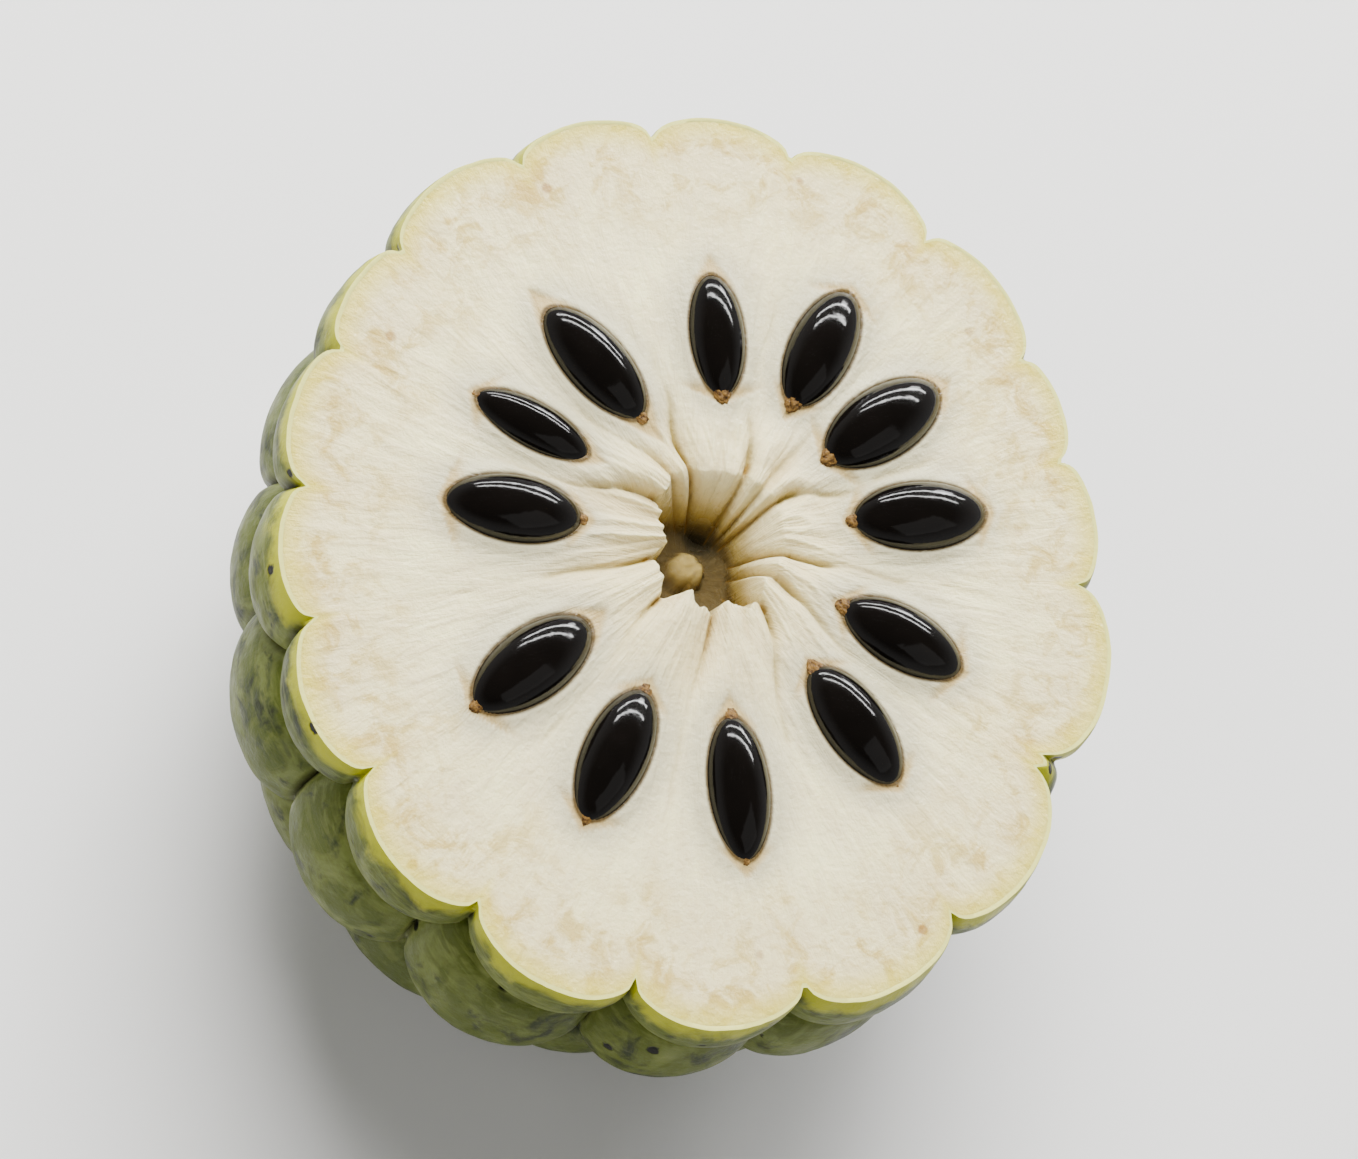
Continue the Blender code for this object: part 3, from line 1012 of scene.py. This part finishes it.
        values = {
            "seed_gap": joined(np.full(lead, FAR_FROM_SEEDS), gap[lead:], FAR_FROM_SEEDS),
            "to_rim": joined(np.full(lead, FAR_FROM_RIM), to_rim),
            "crease": joined(walls, crease),
            "notch": joined(none, self.notches(to_rim)),
            "skins": joined(none, skins[lead:]),
            "folds": joined(none, fold_shade),
        }
        return rows, values


class FRUIT_OT_flesh(bpy.types.Operator):
    """Make the cut flesh, with its hollow, folds and seed pockets"""

    bl_idname = "custard_apple.flesh"
    bl_label = "Flesh"

    def execute(self, context):
        settings = context.scene.custard_flesh
        rind = bpy.data.objects["rind"].data
        count = OUTER_ROWS + INNER_ROWS
        rows = coordinates(rind)[: count * COLUMNS].reshape(count, COLUMNS, 3)
        rim, lining = rows[OUTER_ROWS], rows[OUTER_ROWS + 1 :]
        seam = np.empty(len(rind.vertices), np.float32)
        rind.attributes["seam"].data.foreach_get("value", seam)
        seam = seam[OUTER_ROWS * COLUMNS : (OUTER_ROWS + 1) * COLUMNS].astype(float)
        rings, values = Flesh(settings, rim, lining, seam).build()
        first, last = rings[0].mean(axis=0), rings[-1].mean(axis=0)
        mesh = closed_rows("flesh", rings, first, last)
        for name, value in values.items():
            keep(mesh, name, np.append(value, [value[0], value[-1]]))
        mesh.materials.append(ripe_flesh(settings))
        piece("flesh", mesh, ["fruit_half"], sharp=75)
        return {"FINISHED"}


# ---------------------------------------------------------------- materials


def new_material(name, constants):
    material = bpy.data.materials.new(name)
    material.use_nodes = True
    tree = material.node_tree
    shader = tree.nodes["Principled BSDF"]
    feed(tree, shader, constants)
    return material, tree, shader


def seed_coat(settings):
    """Hard seed coat, polished by the wet pulp: near black, so it is seen by its reflections."""
    material, tree, shader = new_material("glossy seed coat", {"Roughness": 0.10, "IOR": 1.42})
    at = add(tree, "ShaderNodeTexCoord").outputs["Object"]
    # Growth marks 1 mm apart, hardly raised, that break up the edges of a highlight.
    marks = cloud_noise(tree, at, 900.0, detail=2.0, roughness=0.5)
    bump = bump_of(tree, marks, 0.10, 0.0002)
    cloud = cloud_noise(tree, at, 320.0, detail=3.0)
    tint = mix(tree, cloud, settings.coat, linear("#0E0B09"))
    feed(tree, shader, {"Base Color": tint, "Normal": bump})
    return material


def tip_cork(settings):
    """Corky tissue where the seed was joined on: dull brown, pitted, paler where it is torn."""
    material, tree, shader = new_material("seed tip cork", {"Roughness": 0.55, "IOR": 1.45})
    at = add(tree, "ShaderNodeTexCoord").outputs["Object"]
    pits = cloud_noise(tree, at, 2400.0, detail=4.0, roughness=0.65)
    shade = ramp(tree, pits, (0.36, 0.0), (0.62, 1.0))
    tint = mix(tree, shade, settings.lump, settings.lump_pale)
    dark = ramp(tree, pits, (0.30, 1.0), (0.42, 0.0))
    tint = mix(tree, dark, tint, linear("#2C1A0A"))
    bump = bump_of(tree, pits, 0.7, 0.0002)
    feed(tree, shader, {"Base Color": tint, "Normal": bump})
    return material


def ripe_flesh(settings):
    """Ripe flesh, fresh from the knife: moist, milky and soft, so light sinks in a little."""
    constants = {
        "IOR": 1.38, "Subsurface Weight": 0.30, "Subsurface Radius": (1.0, 0.88, 0.65),
        "Subsurface Scale": 0.8 * MM,
    }
    material, tree, shader = new_material("ripe flesh", constants)
    at = add(tree, "ShaderNodeTexCoord").outputs["Object"]

    # Fibres run outwards from the core: noise over the bearing, drawn long along the radius.
    flat = vector(tree, "MULTIPLY", at, (1, 1, 0))
    heading = vector(tree, "NORMALIZE", flat)
    radius = vector(tree, "LENGTH", flat).outputs["Value"]
    turn = vector(tree, "SCALE", heading, 26.0)
    out = calc(tree, "MULTIPLY", radius, 190.0)
    lift = point(tree, Z=out)
    radial = vector(tree, "ADD", turn, lift)
    fibre = cloud_noise(tree, radial, 1.0, detail=4.0, roughness=0.6, distortion=0.6)
    streak = ramp(tree, fibre, (0.42, 0.0), (0.72, 1.0))
    weak = calc(tree, "MULTIPLY", streak, 0.75)
    tint = mix(tree, weak, settings.cream, settings.fibre)

    # Soft clouds 6 mm across, a little warmer or greyer than the rest.
    cloud = cloud_noise(tree, at, 160.0, detail=3.0)
    cloud = ramp(tree, cloud, (0.40, 0.0), (0.66, 0.6))
    tint = mix(tree, cloud, tint, linear("#E7DAAE"))

    # Torn flesh round the hollow is a warmer cream.
    core = span(tree, radius, (0.018, 0.008), (0.0, 0.5))
    tint = mix(tree, core, tint, linear("#E8D6A2"))

    # Within 4 mm of the black seeds the flesh is painted grey, partly the wet, translucent flesh's
    # own tone and partly painted shade from the dark seeds under it.
    gap = painted(tree, "seed_gap")
    wet_grey_and_shade = span(tree, gap, (0.0, 0.0042), (0.78, 0.0), smooth=True)
    tint = mix(tree, wet_grey_and_shade, tint, settings.wet_grey_and_shade)

    # Gritty tan flecks, 0.5 to 1.5 mm, in the last 12 mm before the rind.
    rim = painted(tree, "to_rim")
    band = span(tree, rim, (0.0120, 0.0035), (0.0, 1.0))
    grit = cloud_noise(tree, at, 380.0, detail=6.0, roughness=0.66, distortion=0.6)
    grit = ramp(tree, grit, (0.47, 0.0), (0.62, 1.0))
    flecks = calc(tree, "MULTIPLY", grit, band)
    tint = mix(tree, flecks, tint, settings.tan)
    warm = calc(tree, "MULTIPLY", band, 0.35)
    tint = mix(tree, warm, tint, linear("#E0CD94"))

    # Orange-tan stains run in from the notches between knobs, with a few small brown marks.
    stain = calc(tree, "MULTIPLY", painted(tree, "notch"), 0.75)
    tint = mix(tree, stain, tint, linear("#CFA45A"))
    distance, chance = cells(tree, at, 330.0)
    mark = ramp(tree, distance, (0.12, 1.0), (0.20, 0.0))
    chosen = calc(tree, "GREATER_THAN", chance, 0.86)
    mark = calc(tree, "MULTIPLY", mark, chosen)
    outer = span(tree, rim, (0.0090, 0.0020), (0.0, 0.8))
    mark = calc(tree, "MULTIPLY", mark, outer)
    tint = mix(tree, mark, tint, linear("#97662C"))

    # In the last 3 mm the flesh is painted yellow, partly its own colour near the rind and partly a
    # painted glow of the rind's green showing through.
    glow = span(tree, rim, (0.0030, 0.0), (0.0, 0.75), smooth=True)
    tint = mix(tree, glow, tint, settings.yellow)

    # Brown skin left at the seeds' tips, and a thin dark line of painted shade in the gap where
    # flesh meets seed.
    skins = calc(tree, "MULTIPLY", painted(tree, "skins"), 0.8)
    tint = mix(tree, skins, tint, linear("#B79A5C"))
    line = span(tree, gap, (0.00026, 0.00002), (0.0, 0.9))
    tint = mix(tree, line, tint, linear("#4E3C20"))

    # Seams get a thin brown line at their foot, partly their own brown and partly painted shade in
    # the groove, and painted shade makes the torn folds duller between their crests.
    folds = calc(tree, "MULTIPLY", painted(tree, "folds"), 0.55)
    tint = mix(tree, folds, tint, linear("#CDB781"))
    crease = calc(tree, "MULTIPLY", painted(tree, "crease"), 0.70)
    tint = mix(tree, crease, tint, settings.crease)

    # Down in the hollow the flesh is painted browner and darker with depth, partly its own browner
    # tone and partly painted shade, nearly black at the bottom of its pit.
    height = axes(tree, at)["Z"]
    down = span(tree, height, (CUT, CUT - 0.008), (0.0, 1.0))
    brown = ramp(
        tree, down, (0.20, linear("#DCC992")), (0.55, settings.deep), (0.72, linear("#5A4519")),
        (0.88, linear("#1C1304")),
    )
    low = ramp(tree, down, (0.08, 0.0), (0.42, 0.95))
    not_pocket = calc(tree, "GREATER_THAN", gap, FAR_FROM_SEEDS - 0.5 * MM)
    low = calc(tree, "MULTIPLY", low, not_pocket)
    tint = mix(tree, low, tint, brown)
    # Creases away from the seeds get a further painted shade.
    crease_brown_and_shade = calc(tree, "MULTIPLY", crease, not_pocket)
    crease_brown_and_shade = calc(tree, "MULTIPLY", crease_brown_and_shade, 0.8)
    tint = mix(tree, crease_brown_and_shade, tint, linear("#8F6A26"))

    # Juice lies in patches: shinier where it does.
    juice = cloud_noise(tree, at, 420.0, detail=4.0)
    shine = span(tree, juice, (0.35, 0.7), (0.16, 0.50))
    pulp = cloud_noise(tree, at, 1500.0, detail=3.0, roughness=0.6)
    relief = calc(tree, "MULTIPLY", fibre, 1.3)
    relief = calc(tree, "ADD", relief, pulp)
    bump = bump_of(tree, relief, 0.6, 0.0003)
    feed(tree, shader, {"Base Color": tint, "Roughness": shine, "Normal": bump})
    return material


def rind_skin(settings):
    """Living fruit skin: a thin waxy layer over green, satin, mottled and pitted with age."""
    constants = {
        "IOR": 1.42, "Specular IOR Level": 0.20, "Subsurface Weight": 0.05,
        "Subsurface Radius": (0.6, 1.0, 0.2), "Subsurface Scale": 1.0 * MM,
    }
    material, tree, shader = new_material("waxy green rind", constants)
    at = add(tree, "ShaderNodeTexCoord").outputs["Object"]

    # Each knob is a little lighter or darker than the next.
    own = add(tree, "ShaderNodeTexWhiteNoise", {"W": painted(tree, "knob")}, noise_dimensions="1D")
    own = calc(tree, "MULTIPLY", own, 0.45)
    tint = mix(tree, own, settings.green, linear("#666D1E"))

    # Cloudy mottling 4 mm across, then dark blotches with soft edges.
    cloud = cloud_noise(tree, at, 240.0, detail=5.0, roughness=0.6, distortion=0.7)
    light = ramp(tree, cloud, (0.47, 0.0), (0.72, 0.7))
    tint = mix(tree, light, tint, settings.margin)
    blotch = cloud_noise(tree, at, 280.0, detail=4.0, roughness=0.6, distortion=0.6)
    blotch = ramp(tree, blotch, (0.53, 0.0), (0.66, 0.95))
    tint = mix(tree, blotch, tint, settings.dark)

    # Fine pale streaks along the rim, about 0.6 mm apart, on the upper knobs only.
    height = axes(tree, at)["Z"]
    upper = span(tree, height, (CUT - 0.013, CUT - 0.008), (0.0, 1.0))
    stretched = vector(tree, "MULTIPLY", at, (0.35, 0.35, 2.2))
    streak = cloud_noise(tree, stretched, 800.0, detail=4.0, distortion=0.8)
    streak = ramp(tree, streak, (0.50, 0.0), (0.74, 0.36))
    streak = calc(tree, "MULTIPLY", streak, upper)
    tint = mix(tree, streak, tint, linear("#949B58"))

    # Pale margins beside the seams, and a soft dark line down in them, partly the seam's own line
    # and partly painted shade in the groove.
    seam = painted(tree, "seam")
    beside = span(tree, seam, (0.0019, 0.0006), (0.0, 0.65), smooth=True)
    tint = mix(tree, beside, tint, settings.margin)
    line = span(tree, seam, (0.0010, 0.0), (0.0, 0.95))
    tint = mix(tree, line, tint, linear("#1C1507"))

    # A painted glow makes it yellow-green just under the cut, and painted shade makes it darker low
    # down.
    waver = calc(tree, "MULTIPLY", cloud, 0.0060)
    waver = calc(tree, "ADD", height, waver)
    glow = span(tree, waver, (CUT + 0.0006, CUT + 0.0026), (0.0, 0.92), smooth=True)
    tint = mix(tree, glow, tint, settings.bright)
    # Painted shade: darker towards the underside, which faces away from the light.
    low = span(tree, height, (0.030, 0.004), (0.0, 0.55))
    tint = mix(tree, low, tint, settings.dark)

    # Pits: near-black specks up to 1 mm across, most of them near the cut.
    rare = span(tree, height, (CUT - 0.009, CUT - 0.003), (0.76, 0.30))
    distance, chance = cells(tree, at, 300.0)
    wobble = cloud_noise(tree, at, 1200.0, detail=2.0)
    edge = calc(tree, "MULTIPLY", wobble, 0.22)
    spot = calc(tree, "ADD", distance, edge)
    spot = ramp(tree, spot, (0.23, 1.0), (0.29, 0.0))
    chosen = calc(tree, "GREATER_THAN", chance, rare)
    spot = calc(tree, "MULTIPLY", spot, chosen)
    tint = mix(tree, spot, tint, settings.pit)

    # The skin's cut edge is pale yellow, partly its own cut tissue and partly a painted highlight
    # along the edge.
    normal = add(tree, "ShaderNodeNewGeometry").outputs["True Normal"]
    facing_up = axes(tree, normal)["Z"]
    on_cut = calc(tree, "GREATER_THAN", facing_up, 0.98)
    at_cut = calc(tree, "GREATER_THAN", height, CUT - 0.00005)
    on_cut = calc(tree, "MULTIPLY", on_cut, at_cut)
    tint = mix(tree, on_cut, tint, linear("#D9D67A"))

    wax = cloud_noise(tree, at, 500.0, detail=3.0)
    rough = span(tree, wax, (0.3, 0.7), (0.36, 0.58))
    pores = cloud_noise(tree, at, 1700.0, detail=3.0, roughness=0.6)
    relief = calc(tree, "MULTIPLY", spot, -1.5)
    relief = calc(tree, "ADD", relief, pores)
    bump = bump_of(tree, relief, 0.4, 0.0002)
    feed(tree, shader, {"Base Color": tint, "Roughness": rough, "Normal": bump})
    return material


def floor_paint(settings):
    """Matt laminate: a plain pale surface that only takes the fruit's soft shadow."""
    material, tree, shader = new_material("matt pale laminate", {"Roughness": 0.6})
    at = add(tree, "ShaderNodeTexCoord").outputs["Object"]
    cloud = cloud_noise(tree, at, 6.0, detail=2.0)
    tint = mix(tree, cloud, settings.floor, linear("#E9E8E5"))
    feed(tree, shader, {"Base Color": tint})
    return material


# ---------------------------------------------------------------- stage


# Name, bearing and rise in degrees, distance, width, height, watts, whether reflections show it.
LIGHTS = (
    ("overhead softbox", 95, 56, 0.9, 0.65, 0.65, 23, False),
    ("left fill", 200, 40, 1.0, 0.8, 0.6, 2.6, False),
    ("upper strip", 70, 37, 0.7, 0.8, 0.035, 3.4, True),
    ("lower strip", 72, 20, 0.7, 0.8, 0.035, 3.4, True),
    ("small box", 58, 17, 0.7, 0.13, 0.12, 0.8, True),
    ("dim panel", -48, 54, 1.0, 0.9, 0.7, 0.7, True),
)


def soft_light(name, bearing, rise, distance, size_x, size_y, power, glossy):
    """An area light that looks at the fruit, with its long side level."""
    data = bpy.data.lights.new(name, "AREA")
    data.shape = "RECTANGLE"
    data.size, data.size_y, data.energy = size_x, size_y, power
    item = bpy.data.objects.new(name, data)
    bpy.context.scene.collection.objects.link(item)
    turn, lift = math.radians(bearing), math.radians(rise)
    back = Vector(
        (math.cos(turn) * math.cos(lift), math.sin(turn) * math.cos(lift), math.sin(lift))
    )
    item.location = back * distance + Vector((0, 0, CUT))
    item.rotation_euler = back.to_track_quat("Z", "Y").to_euler()
    item.visible_glossy = glossy


class FRUIT_OT_stage(bpy.types.Operator):
    """Make the pale floor, the soft lights and the camera"""

    bl_idname = "custard_apple.stage"
    bl_label = "Stage"

    def execute(self, context):
        settings = context.scene.custard_stage
        bpy.ops.mesh.primitive_plane_add(size=6)
        floor = context.active_object
        floor.name = "floor"
        floor.data.materials.append(floor_paint(settings))
        floor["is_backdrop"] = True
        self.light(context.scene)
        self.aim(context.scene, settings)
        return {"FINISHED"}

    def light(self, scene):
        for light in LIGHTS:
            soft_light(*light)
        world = bpy.data.worlds.new("studio")
        scene.world = world
        world.use_nodes = True
        tree = world.node_tree
        at = add(tree, "ShaderNodeTexCoord").outputs["Generated"]
        rise = axes(tree, at)["Z"]
        sky = ramp(tree, rise, (0.0, 0.55), (0.40, 0.40), (0.72, 0.05), (1.0, 0.04))
        background = tree.nodes["Background"]
        feed(tree, background, {"Color": sky, "Strength": 0.9})

    def aim(self, scene, settings):
        """The camera is turned so that the fruit's +Y stays up in the picture."""
        tilt, turn = settings.tilt, settings.bearing
        toward = Vector((math.cos(turn), math.sin(turn), 0))
        aside = Vector((-math.sin(turn), math.cos(turn), 0))
        back = toward * math.sin(tilt) + Vector((0, 0, math.cos(tilt)))
        slope = toward * math.cos(tilt) - Vector((0, 0, math.sin(tilt)))
        right = slope * math.cos(turn) - aside * math.sin(turn)
        up = slope * math.sin(turn) + aside * math.cos(turn)
        data = bpy.data.cameras.new("camera")
        data.lens = settings.lens
        data.sensor_width = 36
        data.clip_start, data.clip_end = 0.01, 20
        camera = bpy.data.objects.new("camera", data)
        scene.collection.objects.link(camera)
        low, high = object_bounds()
        centre = Vector(((low.x + high.x) / 2, (low.y + high.y) / 2, CUT - 0.006))
        camera.matrix_world = Matrix.Translation(centre + back * settings.distance) @ Matrix(
            (right, up, back)
        ).transposed().to_4x4()
        scene.camera = camera


class FRUIT_PT_panel(bpy.types.Panel):
    """Lists the pieces and their sizes"""

    bl_label = "Custard apple half"
    bl_idname = "FRUIT_PT_panel"
    bl_space_type = "VIEW_3D"
    bl_region_type = "UI"
    bl_category = "Fruit"

    def draw(self, context):
        for operator, group in PIECES:
            box = self.layout.box()
            box.operator(operator.bl_idname)
            settings = getattr(context.scene, group)
            for name in settings.__annotations__:
                box.prop(settings, name)


PIECES = (
    (FRUIT_OT_rind, "custard_rind"),
    (FRUIT_OT_flesh, "custard_flesh"),
    (FRUIT_OT_seeds, "custard_seeds"),
    (FRUIT_OT_stage, "custard_stage"),
)
GROUPS = {
    "custard_rind": RindSettings,
    "custard_flesh": FleshSettings,
    "custard_seeds": SeedSettings,
    "custard_stage": StageSettings,
}


def register():
    for name, group in GROUPS.items():
        bpy.utils.register_class(group)
        setattr(bpy.types.Scene, name, bpy.props.PointerProperty(type=group))
    for operator, _ in PIECES:
        bpy.utils.register_class(operator)
    bpy.utils.register_class(FRUIT_PT_panel)


def unregister():
    bpy.utils.unregister_class(FRUIT_PT_panel)
    for operator, _ in reversed(PIECES):
        bpy.utils.unregister_class(operator)
    for name, group in GROUPS.items():
        delattr(bpy.types.Scene, name)
        bpy.utils.unregister_class(group)


def main():
    register()
    for operator, _ in PIECES:
        group, name = operator.bl_idname.split(".")
        getattr(getattr(bpy.ops, group), name)()


if __name__ == "__main__":
    main()
